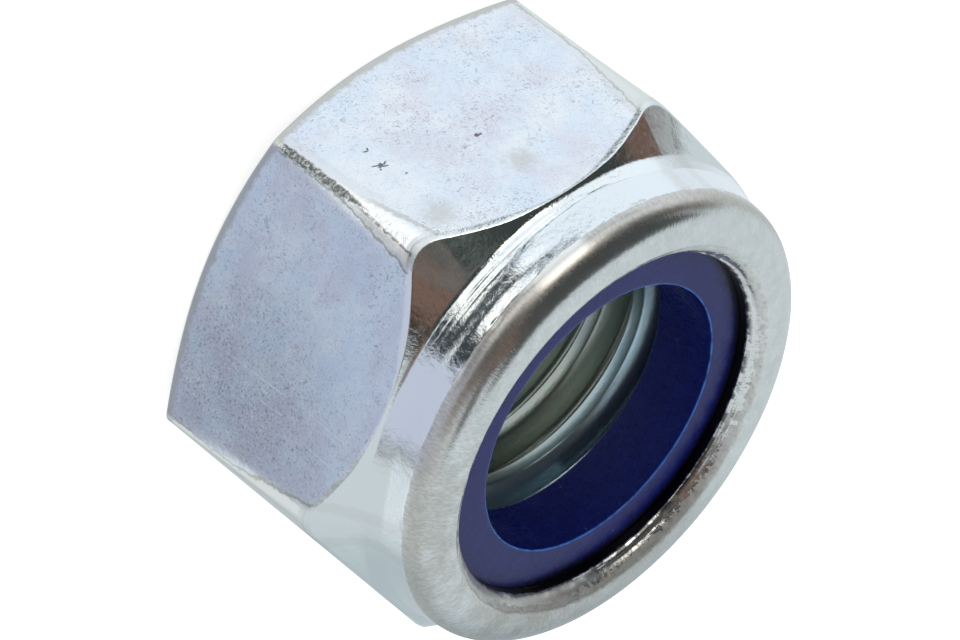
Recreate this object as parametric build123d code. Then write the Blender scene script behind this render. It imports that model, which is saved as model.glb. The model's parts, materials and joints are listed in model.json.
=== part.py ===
from build123d import *
import os
from math import cos, radians, tan

# Nylon insert lock nut, M12 x 1.75, all sizes in millimetres.
# The nut stands on its bearing face: the origin is the centre of that face and
# +Z runs along the thread towards the collar that holds the nylon ring.
# A steel body, cold formed in one piece, carries a nylon ring in a pocket
# whose rim is rolled inwards over the ring.

# ---- thread ----
thread_d = 12.0
thread_pitch = 1.75
minor_factor = 1.0825           # basic crest diameter: thread_d less this many pitches
crest_allowance = 0.16          # crests stand this much wider than the basic profile
countersink_d = 13.0            # mouth of the lead-in on the bearing face
countersink_angle = 120.0       # included angle of that lead-in
pocket_side_break = 0.25        # small break where the thread meets the pocket floor

# ---- hexagon ----
across_flats = 18.8
bearing_step = 0.25             # flats to the round bearing face, per side
bearing_chamfer = 30.0          # angle of the chamfer above the bearing face
corner_r_bearing = 0.3          # round of the vertical corners at the bearing face
corner_r_middle = 0.4           # round where the forming die began to under-fill them
corner_r_collar = 2.0           # under-filled corners, rounder towards the collar
underfill_start = 4.5           # height above which the corners grow rounder
hex_height = 9.53               # where the hexagon's facets meet the collar
facet_angle = 49.0              # slope of the facets that fall away to the corners

# ---- collar and rolled rim ----
height = 12.2
collar_step = 0.1               # flats to the root of the collar, per side
collar_taper = 0.33             # the collar's side draws in this much up to the crease
root_fillet = 0.3
rim_rise = 1.15                 # crease to the top of the rim
rim_round_width = 1.5           # how far the rounded shoulder of the rim reaches in
rim_bevel_d = 14.5              # ridge where the rim turns down to its raw edge
rim_bore_d = 13.6               # raw edge of the rim, the mouth that shows the nylon
rim_bevel_drop = 0.6
rim_edge_height = 0.35          # thickness left at the raw edge
rim_top_fall = 0.06             # the rim's top sinks this much towards its ridge

# ---- nylon insert ----
insert_bore_d = 10.6
insert_height = 2.63
collar_wall = 1.1               # steel left round the nylon at the crease
pocket_bevel = 0.55             # the rim presses the ring's outer edge to this bevel
insert_edge_break = 0.1

# ---- worked out ----
apothem = across_flats / 2
corner_reach = apothem / cos(radians(180 / 6))     # centre to the sharp corner
crest_r = (thread_d - minor_factor * thread_pitch + crest_allowance) / 2
bearing_r = apothem - bearing_step
root_r = apothem - collar_step
crease_r = root_r - collar_taper
crease_z = height - rim_rise
rim_top_r = crease_r - rim_round_width
rim_ridge_z = height - rim_top_fall
rim_edge_z = rim_ridge_z - rim_bevel_drop
insert_top = rim_edge_z - rim_edge_height
pocket_floor = insert_top - insert_height
pocket_r = crease_r - collar_wall
countersink_depth = (countersink_d / 2 - crest_r) / tan(radians(countersink_angle / 2))


def turned(*edges):
    """Solid of revolution about Z from edges drawn as (radius, height)."""
    with BuildPart() as part:
        with BuildSketch(Plane.XZ):
            with BuildLine():
                for edge in edges:
                    add(edge)
            make_face()
        revolve(axis=Axis.Z)
    return part.part


def pocket_outline():
    """Edges of the pocket from the pocket floor up to the rim's raw edge.

    The nylon ring is pressed to the same outline, so both pieces share it.
    """
    bevel_low = (pocket_r, insert_top - pocket_bevel)
    bevel_high = (pocket_r - pocket_bevel, insert_top)
    return [
        Line((pocket_r, pocket_floor), bevel_low),
        Line(bevel_low, bevel_high),
        Line(bevel_high, (rim_bore_d / 2, insert_top)),
    ]


def rim_outline():
    """Edges of the rolled rim from its raw edge over the top to the crease."""
    raw_edge = (rim_bore_d / 2, rim_edge_z)
    ridge = (rim_bevel_d / 2, rim_ridge_z)
    top = (rim_top_r, height)
    shoulder = EllipticalCenterArc((rim_top_r, crease_z), rim_round_width, rim_rise, arc_size=90)
    return [
        Line((rim_bore_d / 2, insert_top), raw_edge),
        Line(raw_edge, ridge),
        Line(ridge, top),
        shoulder,
    ]


def outer_outline():
    """Edges of the outside from the crease down to the bearing face.

    They reach out to the sharp corners, so the rounded hexagon lies inside.
    """
    facet_low = hex_height - (corner_reach - root_r) * tan(radians(facet_angle))
    chamfer_top = (corner_reach - bearing_r) * tan(radians(bearing_chamfer))
    facet_end = (corner_reach, facet_low)
    chamfer_start = (corner_reach, chamfer_top)
    return [
        FilletPolyline(
            (crease_r, crease_z), (root_r, hex_height), facet_end, radius=root_fillet
        ),
        Line(facet_end, chamfer_start),
        Line(chamfer_start, (bearing_r, 0)),
    ]


def bore_outline():
    """Edges of the bearing face, the threaded bore and the pocket floor."""
    break_top = (crest_r + pocket_side_break, pocket_floor)
    return [
        Line((bearing_r, 0), (countersink_d / 2, 0)),
        Line((countersink_d / 2, 0), (crest_r, countersink_depth)),
        Line((crest_r, countersink_depth), (crest_r, pocket_floor - pocket_side_break)),
        Line((crest_r, pocket_floor - pocket_side_break), break_top),
        Line(break_top, (pocket_r, pocket_floor)),
    ]


def hexagon(plane, corner_r):
    """Hexagon across the flats with rounded corners, flats square to X."""
    with BuildSketch(plane) as sketch:
        RegularPolygon(apothem, 6, major_radius=False, rotation=180 / 6)
        fillet(sketch.vertices(), corner_r)
    return sketch.sketch


def hex_bar():
    """Hexagonal bar whose corners grow rounder from mid height to the collar."""
    growth = (corner_r_collar - corner_r_middle) / (hex_height - underfill_start)
    corner_r_top = corner_r_middle + growth * (height - underfill_start)
    low = hexagon(Plane.XY, corner_r_bearing)
    middle = hexagon(Plane.XY.offset(underfill_start), corner_r_middle)
    high = hexagon(Plane.XY.offset(height), corner_r_top)
    return loft([low, middle, high], ruled=True)


def make_nut_body():
    """Steel body: the turned form of chamfers, collar, rim and bore on hexagon bar."""
    blank = turned(*pocket_outline(), *rim_outline(), *outer_outline(), *bore_outline())
    return blank & hex_bar()


def make_nylon_insert():
    """Nylon ring that fills the pocket and stands in towards the thread."""
    bore_r = insert_bore_d / 2
    bore_low = (bore_r, pocket_floor + insert_edge_break)
    bore_high = (bore_r, insert_top - insert_edge_break)
    top_break = (bore_r + insert_edge_break, insert_top)
    floor_break = (bore_r + insert_edge_break, pocket_floor)
    return turned(
        *pocket_outline(),
        Line((rim_bore_d / 2, insert_top), top_break),
        Line(top_break, bore_high),
        Line(bore_high, bore_low),
        Line(bore_low, floor_break),
        Line(floor_break, (pocket_r, pocket_floor)),
    )


os.makedirs("parts", exist_ok=True)
export_step(make_nut_body(), "parts/nut_body.step")
export_step(make_nylon_insert(), "parts/nylon_insert.step")
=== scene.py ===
"""Looks of an M12 nylon insert lock nut: a blue-white zinc plated steel body and its navy nylon ring."""
import json
import logging
from dataclasses import dataclass, field
from functools import cached_property, reduce
from math import atan2, ceil, cos, exp, hypot, pi, radians, sin, sqrt, tan
from typing import Callable, Optional, Union

import bmesh
import bpy
from mathutils import Matrix, Vector, noise


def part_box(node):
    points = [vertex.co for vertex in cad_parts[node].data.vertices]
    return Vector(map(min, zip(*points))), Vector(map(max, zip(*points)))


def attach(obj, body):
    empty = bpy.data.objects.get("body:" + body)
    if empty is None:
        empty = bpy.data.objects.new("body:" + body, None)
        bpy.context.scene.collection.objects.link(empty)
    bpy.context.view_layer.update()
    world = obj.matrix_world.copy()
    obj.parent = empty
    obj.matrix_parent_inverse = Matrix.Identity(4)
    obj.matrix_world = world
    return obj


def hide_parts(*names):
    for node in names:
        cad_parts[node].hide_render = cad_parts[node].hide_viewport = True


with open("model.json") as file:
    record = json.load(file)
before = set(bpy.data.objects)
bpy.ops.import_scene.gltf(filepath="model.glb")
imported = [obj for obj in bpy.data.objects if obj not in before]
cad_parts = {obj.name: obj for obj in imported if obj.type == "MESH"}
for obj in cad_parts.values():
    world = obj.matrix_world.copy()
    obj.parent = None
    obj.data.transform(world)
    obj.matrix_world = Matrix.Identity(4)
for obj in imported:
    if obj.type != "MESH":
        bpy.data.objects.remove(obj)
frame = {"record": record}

LOG = logging.getLogger("lock_nut")
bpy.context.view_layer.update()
MM = 0.001
FULL_TURN = 2 * pi
HALF_SIDE = radians(30)

WHITE = (1.0, 1.0, 1.0)
SECTORS = 6
WELD_REACH = 1e-4
SLIVER_LENGTH = 1e-5

Point = tuple[float, float]
Colour = tuple[float, float, float]
Socket = bpy.types.NodeSocket
Value = Union[float, Socket]
Paint = Union[float, Colour, Socket]


@dataclass(frozen=True)
class NutSizes:
    """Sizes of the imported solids, in millimetres."""

    apothem: float
    height: float
    crest_r: float
    insert_bore_r: float
    pocket_r: float
    pocket_floor: float
    insert_top: float

    @classmethod
    def from_frame(cls) -> "NutSizes":
        """Reads the sizes from the nodes' boxes and the record's mounts.

        Returns:
            The sizes that the looks are built to.
        """
        body_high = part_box("nut_body")[1] / MM
        ring_low, ring_high = (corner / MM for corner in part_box("nylon_insert"))
        mounts = {mount["name"]: mount for mount in frame["record"]["mounts"]}
        return cls(
            apothem=body_high.x,
            height=body_high.z,
            crest_r=mounts["thread"]["dims"]["r_mm"],
            insert_bore_r=mounts["insert_bore"]["dims"]["r_mm"],
            pocket_r=ring_high.x,
            pocket_floor=ring_low.z,
            insert_top=ring_high.z,
        )


# ---------------------------------------------------------------- meshes


@dataclass(frozen=True)
class Corner:
    """A corner of an outline, in millimetres.

    The leg that ends here is divided into rows, and the corner itself is eased by a small curve.
    """

    r: float
    z: float
    ease: float = 0.0
    rows: int = 1


def eased_outline(corners: list[Corner], support: float = 0.035, curve_rows: int = 4) -> list[Point]:
    """Lays points along straight legs with eased corners.

    Args:
        corners: The outline's corners in order, open at both ends.
        support: How close the extra rows that hold a flat leg's shading stand to its ends.
        curve_rows: Rows in each eased corner.

    Returns:
        The points as (radius, height).
    """
    spots = [Vector((corner.r, corner.z)) for corner in corners]
    points: list[Point] = []
    leave = spots[0]
    for index, corner in enumerate(corners[1:], start=1):
        spot = spots[index]
        last = index == len(corners) - 1
        arrive, onward = spot, spot
        if corner.ease and not last:
            arrive = spot + (spots[index - 1] - spot).normalized() * corner.ease
            onward = spot + (spots[index + 1] - spot).normalized() * corner.ease
        points.extend(leg_points(leave, arrive, corner.rows, support))
        if corner.ease and not last:
            for step in range(curve_rows):
                share = step / curve_rows
                first = arrive.lerp(spot, share)
                second = spot.lerp(onward, share)
                points.append(tuple(first.lerp(second, share)))
        leave = onward
    points.append(tuple(leave))
    return points


def leg_points(start: Vector, end: Vector, rows: int, support: float) -> list[Point]:
    """Divides a straight leg into rows, with a support row close to each end.

    Args:
        start: First point, which is kept.
        end: Last point, which is left to the next leg.
        rows: Number of rows.
        support: Distance of the support rows from the ends.

    Returns:
        The points from start up to, but not including, end.
    """
    shares = [row / rows for row in range(rows)]
    if rows > 3:
        near = min(support / max((end - start).length, support), 0.5 / rows)
        shares = [0.0, near] + shares[1:] + [1 - near]
    return [tuple(start.lerp(end, share)) for share in shares]


def polar(angle: float, radius: float, height: float) -> Vector:
    """Point at an angle round the nut's axis."""
    return Vector((radius * cos(angle), radius * sin(angle), height))


def clamp(value: float) -> float:
    """Holds a value between nought and one."""
    return min(max(value, 0.0), 1.0)


def swell(place: Vector, scale: float) -> float:
    """Smooth noise from nought to one at a place, with a scale in features per millimetre."""
    return noise.noise(place * scale) * 0.5 + 0.5


def bell(offset: float, width: float) -> float:
    """A smooth bump of height one, with a half width at which it has sunk to about a third."""
    return exp(-((offset / width) ** 2))


def between(value: float, low: float, high: float) -> float:
    """Smooth rise from nought at low to one at high."""
    share = clamp((value - low) / (high - low))
    return share * share * (3 - 2 * share)


def soft_max(first: float, second: float, blend: float) -> float:
    """The larger of two values, with a rounded change from one to the other.

    Args:
        first: One value.
        second: The other value.
        blend: How close they are where the rounding starts.

    Returns:
        The larger one, or a little more where they are close.
    """
    gap = abs(first - second)
    ease = max(blend - gap, 0.0) / blend
    return max(first, second) + ease * ease * blend / 4


def spin_in_sectors(bm: bmesh.types.BMesh, chain: list[bmesh.types.BMVert], columns: int,
                    closed: bool = False, pitch: float = 0.0, turns: int = 1) -> None:
    """Spins a chain of points through one sector, then repeats the sector round the axis.

    Args:
        bm: The mesh that holds the chain alone.
        chain: The section's points in order.
        columns: Steps in a full turn.
        closed: Whether the section is a closed loop.
        pitch: Rise in a full turn, for a thread.
        turns: Full turns in all.
    """
    pairs = list(zip(chain, chain[1:])) + ([(chain[-1], chain[0])] if closed else [])
    edges = [bm.edges.new(pair) for pair in pairs]
    bmesh.ops.spin(
        bm, geom=chain + edges, cent=(0, 0, 0), axis=(0, 0, 1), dvec=(0, 0, pitch / columns),
        angle=FULL_TURN / SECTORS, steps=columns // SECTORS,
    )
    first = bm.verts[:] + bm.edges[:] + bm.faces[:]
    for number in range(1, SECTORS * turns):
        made = bmesh.ops.duplicate(bm, geom=first)["geom"]
        verts = [part for part in made if isinstance(part, bmesh.types.BMVert)]
        turn = Matrix.Rotation(FULL_TURN * number / SECTORS, 3, "Z")
        bmesh.ops.rotate(bm, verts=verts, cent=(0, 0, 0), matrix=turn)
        bmesh.ops.translate(bm, verts=verts, vec=(0, 0, pitch * number / SECTORS))
    bmesh.ops.remove_doubles(bm, verts=bm.verts, dist=WELD_REACH)


def mesh_object(bm: bmesh.types.BMesh, name: str, dent: Callable[[Vector], float]) -> bpy.types.Object:
    """Turns a bmesh in millimetres into a smooth object in metres.

    Args:
        bm: The finished mesh, which is freed.
        name: The object's name.
        dent: How far the skin is worn or pressed in at a place.

    Returns:
        The new object, at the origin.
    """
    bmesh.ops.remove_doubles(bm, verts=bm.verts, dist=WELD_REACH)
    bmesh.ops.dissolve_degenerate(bm, edges=bm.edges, dist=SLIVER_LENGTH)
    bmesh.ops.recalc_face_normals(bm, faces=bm.faces)
    bm.normal_update()
    for vert, normal in [(vert, vert.normal.copy()) for vert in bm.verts]:
        vert.co -= normal * dent(vert.co)
    bmesh.ops.scale(bm, vec=Vector((MM, MM, MM)), verts=bm.verts)
    mesh = bpy.data.meshes.new(name)
    bm.to_mesh(mesh)
    bm.free()
    mesh.shade_smooth()
    made = bpy.data.objects.new(name, mesh)
    bpy.context.scene.collection.objects.link(made)
    return made


@dataclass(frozen=True)
class Thread:
    """Right-hand internal thread, in millimetres."""

    crest_r: float
    major_r: float = 6.03
    pitch: float = 1.75
    crest_width: float = 0.5
    crest_height: float = 1.13
    softness: float = 0.07
    flank: float = tan(radians(60))

    def radius(self, along: float) -> float:
        """Radius of the thread's wall.

        Args:
            along: Distance along the axis from the nearest crest's middle.

        Returns:
            The radius, between the crest's and the root's.
        """
        wanted = self.crest_r + self.flank * (abs(along) - self.crest_width / 2)
        lifted = soft_max(wanted, self.crest_r, self.softness)
        return -soft_max(-lifted, -self.major_r, self.softness)

    def from_crest(self, angle: float, height: float) -> float:
        """Distance along the axis to the nearest crest's middle, at a place in the bore."""
        turns = (height - self.crest_height) / self.pitch - angle / FULL_TURN
        return (turns - round(turns)) * self.pitch

    def rows(self) -> list[float]:
        """Places the rows of one pitch, which crowd where the thread bends.

        Returns:
            Their heights about a crest's middle, from root to root.
        """
        root = self.pitch / 2
        edge = self.crest_width / 2
        foot = edge + (self.major_r - self.crest_r) / self.flank
        ease = self.softness / self.flank * 1.6
        half = [0.0, edge - ease, edge, edge + ease, (edge + foot) / 2, foot - ease, foot, foot + ease]
        below = [-row for row in reversed(half[1:])]
        return [-root] + below + half + [root]


@dataclass
class SteelBody:
    """The nut's steel body: hexagon, collar, rolled rim, pocket and threaded bore."""

    sizes: NutSizes
    columns: int = 360
    corner_round_low: float = 0.3
    corner_round_middle: float = 0.4
    corner_round_high: float = 2.0
    underfill_start: float = 4.5
    corner_crowding: float = 0.55
    bearing_step: float = 0.25
    bearing_chamfer: float = radians(30)
    countersink_r: float = 6.5
    countersink_slope: float = tan(radians(60))
    hex_height: float = 9.53
    facet_angle: float = radians(49)
    face_bevel: float = 0.15
    bevel_up_facet: float = 0.8
    bevel_down_face: float = 1.2
    bevel_ease: float = 0.35
    collar_step: float = 0.1
    collar_taper: float = 0.33
    rim_rise: float = 1.15
    rim_round_width: float = 1.5
    rim_bevel_r: float = 7.25
    rim_turn_r: float = 7.08
    rim_bore_r: float = 6.8
    rim_top_fall: float = 0.06
    rim_bevel_drop: float = 0.6
    ridge_sink: float = 0.04
    turn_sink: float = 0.21
    edge_blunt: Point = (0.04, 0.09)
    pocket_bevel: float = 0.55
    pocket_break: float = 0.25
    shoulder_rows: int = 28
    crowding_ease: float = 0.5
    mouth_offset: float = 0.16
    mouth_offset_angle: float = radians(62)
    mouth_blend: float = 0.9
    thread: Thread = field(init=False)

    def __post_init__(self) -> None:
        """Sets the thread to the bore's crest radius."""
        self.thread = Thread(self.sizes.crest_r)

    @property
    def root_r(self) -> float:
        """Radius at the collar's root."""
        return self.sizes.apothem - self.collar_step

    @property
    def crease(self) -> Corner:
        """Where the collar's side meets the rolled rim."""
        return Corner(self.root_r - self.collar_taper, self.sizes.height - self.rim_rise, 0.05, 42)

    @property
    def early_growth(self) -> float:
        """How fast the corners grow rounder below the height where the die under-fills them."""
        return (self.corner_round_middle - self.corner_round_low) / self.underfill_start

    @property
    def late_growth(self) -> float:
        """How fast they grow rounder above it."""
        growth = self.corner_round_high - self.corner_round_middle
        return growth / (self.hex_height - self.underfill_start)

    def corner_round(self, height: float) -> float:
        """Radius of the hexagon's corners at a height."""
        over = height - self.underfill_start
        return self.corner_round_middle + over * (self.late_growth if over > 0 else self.early_growth)

    def hexagon_reach(self, angle: float, height: float) -> float:
        """Radius of the rounded hexagon at an angle, with flats square to X.

        Args:
            angle: Angle round the axis, in radians.
            height: Height above the bearing face, which sets how round the corners are.

        Returns:
            The radius in millimetres.
        """
        corner_round = self.corner_round(height)
        off_flat = abs((angle + HALF_SIDE) % (2 * HALF_SIDE) - HALF_SIDE)
        centre = (self.sizes.apothem - corner_round) / cos(HALF_SIDE)
        tangent_angle = atan2(centre * sin(HALF_SIDE), self.sizes.apothem)
        if off_flat < tangent_angle:
            return self.sizes.apothem / cos(off_flat)
        off_corner = HALF_SIDE - off_flat
        inside = corner_round**2 - (centre * sin(off_corner)) ** 2
        return centre * cos(off_corner) + sqrt(max(inside, 0.0))

    def meeting(self, angle: float, surface: Callable[[float], float], start: float) -> Point:
        """Where the hexagon meets a cone at an angle.

        Args:
            angle: Angle round the axis, in radians.
            surface: The cone's height at a radius.
            start: First guess of the height.

        Returns:
            The meeting point as (radius, height).
        """
        height = start
        for _ in range(6):
            height = surface(self.hexagon_reach(angle, height))
        return self.hexagon_reach(angle, height), height

    def shoulder(self) -> list[Corner]:
        """Lays the rolled rim's rounded shoulder.

        Returns:
            Its corners, from above the crease to the rim's top.
        """
        centre_r = self.crease.r - self.rim_round_width
        centre_z = self.crease.z
        turns = [pi / 2 * row / self.shoulder_rows for row in range(1, self.shoulder_rows + 1)]
        return [
            Corner(centre_r + self.rim_round_width * cos(turn), centre_z + self.rim_rise * sin(turn))
            for turn in turns
        ]

    def outside(self, angle: float) -> list[Point]:
        """Outline at an angle, from the countersink's mouth to the foot of the rim's raw edge.

        Args:
            angle: Angle round the axis, in radians.

        Returns:
            The points as (radius, height).
        """
        sizes = self.sizes
        bearing_r = sizes.apothem - self.bearing_step
        low = self.meeting(angle, lambda r: (r - bearing_r) * tan(self.bearing_chamfer), 0.3)
        high = self.meeting(
            angle, lambda r: self.hex_height - (r - self.root_r) * tan(self.facet_angle), 8.5
        )
        ridge_z = sizes.height - self.rim_top_fall
        edge_z = ridge_z - self.rim_bevel_drop
        facet_length = hypot(high[0] - self.root_r, self.hex_height - high[1])
        bevel = min(self.face_bevel, facet_length * 0.25)
        ease = bevel * self.bevel_ease
        up_facet = self.bevel_up_facet * bevel
        inwards = up_facet * cos(self.facet_angle)
        rise = up_facet * sin(self.facet_angle)
        root_ease = min(0.09, facet_length * 0.3)
        return eased_outline(
            [
                Corner(self.countersink_r, 0),
                Corner(bearing_r, 0, 0.06, 5),
                Corner(low[0], low[1], 0.07, 5),
                Corner(high[0], high[1] - self.bevel_down_face * bevel, ease, 12),
                Corner(high[0] - inwards, high[1] + rise, ease, 2),
                Corner(self.root_r, self.hex_height, root_ease, 10),
                self.crease,
                *self.shoulder(),
                Corner(self.rim_bevel_r, ridge_z - self.ridge_sink, 0.10, 2),
                Corner(self.rim_turn_r, ridge_z - self.turn_sink, 0.10, 4),
                Corner(self.rim_bore_r + self.edge_blunt[0], edge_z + self.edge_blunt[1], 0.04, 3),
                Corner(self.rim_bore_r, edge_z, 0.03, 3),
                Corner(self.rim_bore_r, sizes.insert_top, 0.0, 4),
            ]
        )

    def pocket(self, angle: float) -> list[Point]:
        """Outline of the pocket at an angle, from under the rim to the bore's mouth.

        Args:
            angle: Angle round the axis, in radians.

        Returns:
            The points as (radius, height).
        """
        sizes = self.sizes
        return eased_outline(
            [
                Corner(self.rim_bore_r + 0.02, sizes.insert_top),
                Corner(sizes.pocket_r - self.pocket_bevel, sizes.insert_top, 0.0, 2),
                Corner(sizes.pocket_r, sizes.insert_top - self.pocket_bevel, 0.0, 2),
                Corner(sizes.pocket_r, sizes.pocket_floor, 0.0, 2),
                Corner(self.bore_radius(angle, sizes.pocket_floor), sizes.pocket_floor, 0.0, 5),
            ]
        )

    def bore_radius(self, angle: float, height: float) -> float:
        """Radius of the threaded bore with its lead-ins, at a place in it.

        Args:
            angle: The place's angle round the axis, in radians.
            height: Its height.

        Returns:
            The radius.
        """
        thread_r = self.thread.radius(self.thread.from_crest(angle, height))
        countersink = self.countersink_r - height * self.countersink_slope
        break_r = self.sizes.crest_r + height - (self.sizes.pocket_floor - self.pocket_break)
        return soft_max(soft_max(thread_r, countersink, 0.08), break_r, 0.03)

    def column_of(self, place: Vector) -> int:
        """Number of the evenly spaced column that a place lies on."""
        return round(atan2(place.y, place.x) / FULL_TURN * self.columns) % self.columns

    def column_angle(self, column: int, share: float) -> float:
        """Angle of a column, drawn in towards the hexagon's corners by a share."""
        even = FULL_TURN * column / self.columns
        return even + share * self.corner_crowding / 6 * sin(6 * even)

    def mouth_shift(self, angle: float, radius: float, height: float) -> float:
        """How far the rim's mouth stands off centre at a place, as a rim rolled in one blow does.

        Args:
            angle: The place's angle round the axis, in radians.
            radius: Its radius.
            height: Its height.

        Returns:
            The shift, outwards from the axis.
        """
        near_mouth = 1 - between(radius, self.rim_bevel_r, self.rim_bevel_r + self.mouth_blend)
        on_rim = between(height, self.sizes.insert_top - 0.1, self.sizes.insert_top)
        return self.mouth_offset * cos(angle - self.mouth_offset_angle) * near_mouth * on_rim

    def spin_outside(self, bm: bmesh.types.BMesh) -> None:
        """Spins the outside and the pocket as one skin, then sets each column to its own outline.

        Args:
            bm: The empty mesh to make the skin in.
        """
        angles = [self.column_angle(column, 1.0) for column in range(self.columns)]
        outlines = [self.outside(angle) for angle in angles]
        outside_rows = len(outlines[0])
        for column, outline in enumerate(outlines):
            outline.extend(self.pocket(self.column_angle(column, 0.0)))
        row_layer = bm.verts.layers.int.new("row")
        chain = [bm.verts.new((r, 0, z)) for r, z in outlines[0]]
        for row, vert in enumerate(chain):
            vert[row_layer] = row
        spin_in_sectors(bm, chain, self.columns)
        for vert in bm.verts:
            row = vert[row_layer]
            column = self.column_of(vert.co)
            radius, height = outlines[column][row]
            off_mouth = (radius - self.rim_bore_r) / self.crowding_ease
            share = clamp(off_mouth) if row < outside_rows else 0.0
            angle = self.column_angle(column, share)
            vert.co = polar(angle, radius + self.mouth_shift(angle, radius, height), height)

    def spin_thread(self, bm: bmesh.types.BMesh) -> None:
        """Spins one pitch of the thread up the bore, then trims it to the bore's ends.

        Args:
            bm: The empty mesh to make the thread in.
        """
        thread = self.thread
        start = thread.crest_height - 2 * thread.pitch
        turns = ceil((self.sizes.pocket_floor - start) / thread.pitch)
        chain = [bm.verts.new((self.sizes.crest_r, 0, start + row)) for row in thread.rows()]
        spin_in_sectors(bm, chain, self.columns, pitch=thread.pitch, turns=turns)
        for vert in bm.verts:
            column = self.column_of(vert.co)
            height = min(max(vert.co.z, 0.0), self.sizes.pocket_floor)
            angle = FULL_TURN * column / self.columns
            vert.co = polar(angle, self.bore_radius(angle, height), height)

    def build(self) -> bpy.types.Object:
        """Builds the body's mesh.

        Returns:
            The steel body as one closed object.
        """
        bm = bmesh.new()
        self.spin_outside(bm)
        bore = bmesh.new()
        self.spin_thread(bore)
        bore_mesh = bpy.data.meshes.new("bore")
        bore.to_mesh(bore_mesh)
        bore.free()
        bm.from_mesh(bore_mesh)
        bpy.data.meshes.remove(bore_mesh)
        return mesh_object(bm, "steel_body", CollarMarks(self).dent)


@dataclass(frozen=True)
class RolledLine:
    """A groove that the forming tools left round the collar, in millimetres and degrees."""

    above_root: float
    width: float
    depth: float
    middle: float
    reach: float
    wander: float = 0.05


@dataclass(frozen=True)
class CollarMarks:
    """Unevenness of the formed skin: rolled lines, hammered crease and slightly wavy faces."""

    body: SteelBody
    lines: tuple[RolledLine, ...] = (
        RolledLine(0.28, 0.040, 0.012, 22, 26, 0.03),
        RolledLine(0.42, 0.050, 0.020, -8, 24, 0.08),
        RolledLine(0.50, 0.050, 0.014, 24, 22, 0.06),
        RolledLine(0.36, 0.035, 0.008, 0, 22, 0.05),
        RolledLine(0.92, 0.05, 0.005, -22, 14, 0.10),
    )
    face_waves: float = 0.012
    facet_waves: float = 0.016
    crease_notch: float = 0.05
    edge_chips: float = 0.07
    waist: float = 0.06
    waist_hammered: float = 0.042
    waist_height: float = 0.30
    waist_ease: float = 0.3
    lift: float = 0.026
    lift_height: float = 0.74
    hammered_start: Point = (radians(2), radians(24))
    hammered_end: Point = (radians(44), radians(54))

    def dent(self, place: Vector) -> float:
        """Depth of the marks at a place on the skin.

        Args:
            place: The place, in millimetres.

        Returns:
            The depth, which is nought in the bore and on the bearing face.
        """
        body = self.body
        radius = hypot(place.x, place.y)
        if radius < body.rim_bore_r - 0.01 or place.z < 0.02:
            return 0.0
        above = place.z - body.hex_height
        crease_above = body.crease.z - body.hex_height
        depth = self.face_waves * swell(place, 0.33)
        if radius > body.crease.r - 0.02:
            fade = 1 - between(above, crease_above - 0.1, crease_above)
            marks = self.rolled(place, above) + self.waisted(place, above / crease_above)
            depth += between(above, -0.1, 0.1) * fade * marks
        on_facet = between(radius, body.root_r, body.root_r + 0.15) * between(above, -2.0, -0.6)
        depth += on_facet * self.facet_waves * swell(place, 1.7)
        if radius > body.crease.r - 0.2:
            notch = max(noise.noise(place * 2.3 + Vector((0, 0, 7))) - 0.15, 0.0)
            depth += self.crease_notch * notch * bell(above - crease_above, 0.09)
        if place.z > body.crease.z:
            depth += self.edge_chips * swell(place, 4.1) * bell(radius - body.rim_bore_r, 0.12)
        return depth * between(place.z, 0.02, 0.4)

    def waisted(self, place: Vector, share: float) -> float:
        """Depth of the collar's waist, above which one stretch was hammered up towards the crease.

        Args:
            place: The place, in millimetres.
            share: Its height, as a share of the collar's.

        Returns:
            The depth.
        """
        angle = atan2(place.y, place.x)
        apex = self.waist_height
        apex += 0.12 * between(angle, radians(8), radians(24)) - 0.09 * bell(angle, radians(12))
        apex += 0.05 * noise.noise(Vector((cos(angle) * 3, sin(angle) * 3, 5)))
        rising = clamp(share) / apex
        falling = (1 - clamp(share)) / (1 - apex)
        hammered = between(angle, *self.hammered_start) * (1 - between(angle, *self.hammered_end))
        deep = self.waist + (self.waist_hammered - self.waist) * hammered
        raised = self.lift * hammered * bell(share - self.lift_height, 0.16)
        return -deep * soft_max(-rising, -falling, self.waist_ease) - raised

    def rolled(self, place: Vector, above: float) -> float:
        """Depth of the rolled lines at a place.

        Args:
            place: The place, in millimetres.
            above: Its height above the collar's root.

        Returns:
            The depth of all the lines together.
        """
        angle = atan2(place.y, place.x)
        total = 0.0
        for number, line in enumerate(self.lines):
            off = (angle - radians(line.middle) + pi) % FULL_TURN - pi
            spot = Vector((cos(angle) * 4, sin(angle) * 4, number * 3.7))
            wander = line.wander * noise.noise(spot)
            strength = bell(off, radians(line.reach)) * clamp(0.75 + noise.noise(spot * 1.9))
            total += line.depth * strength * bell(above - line.above_root - wander, line.width)
        return total


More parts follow.
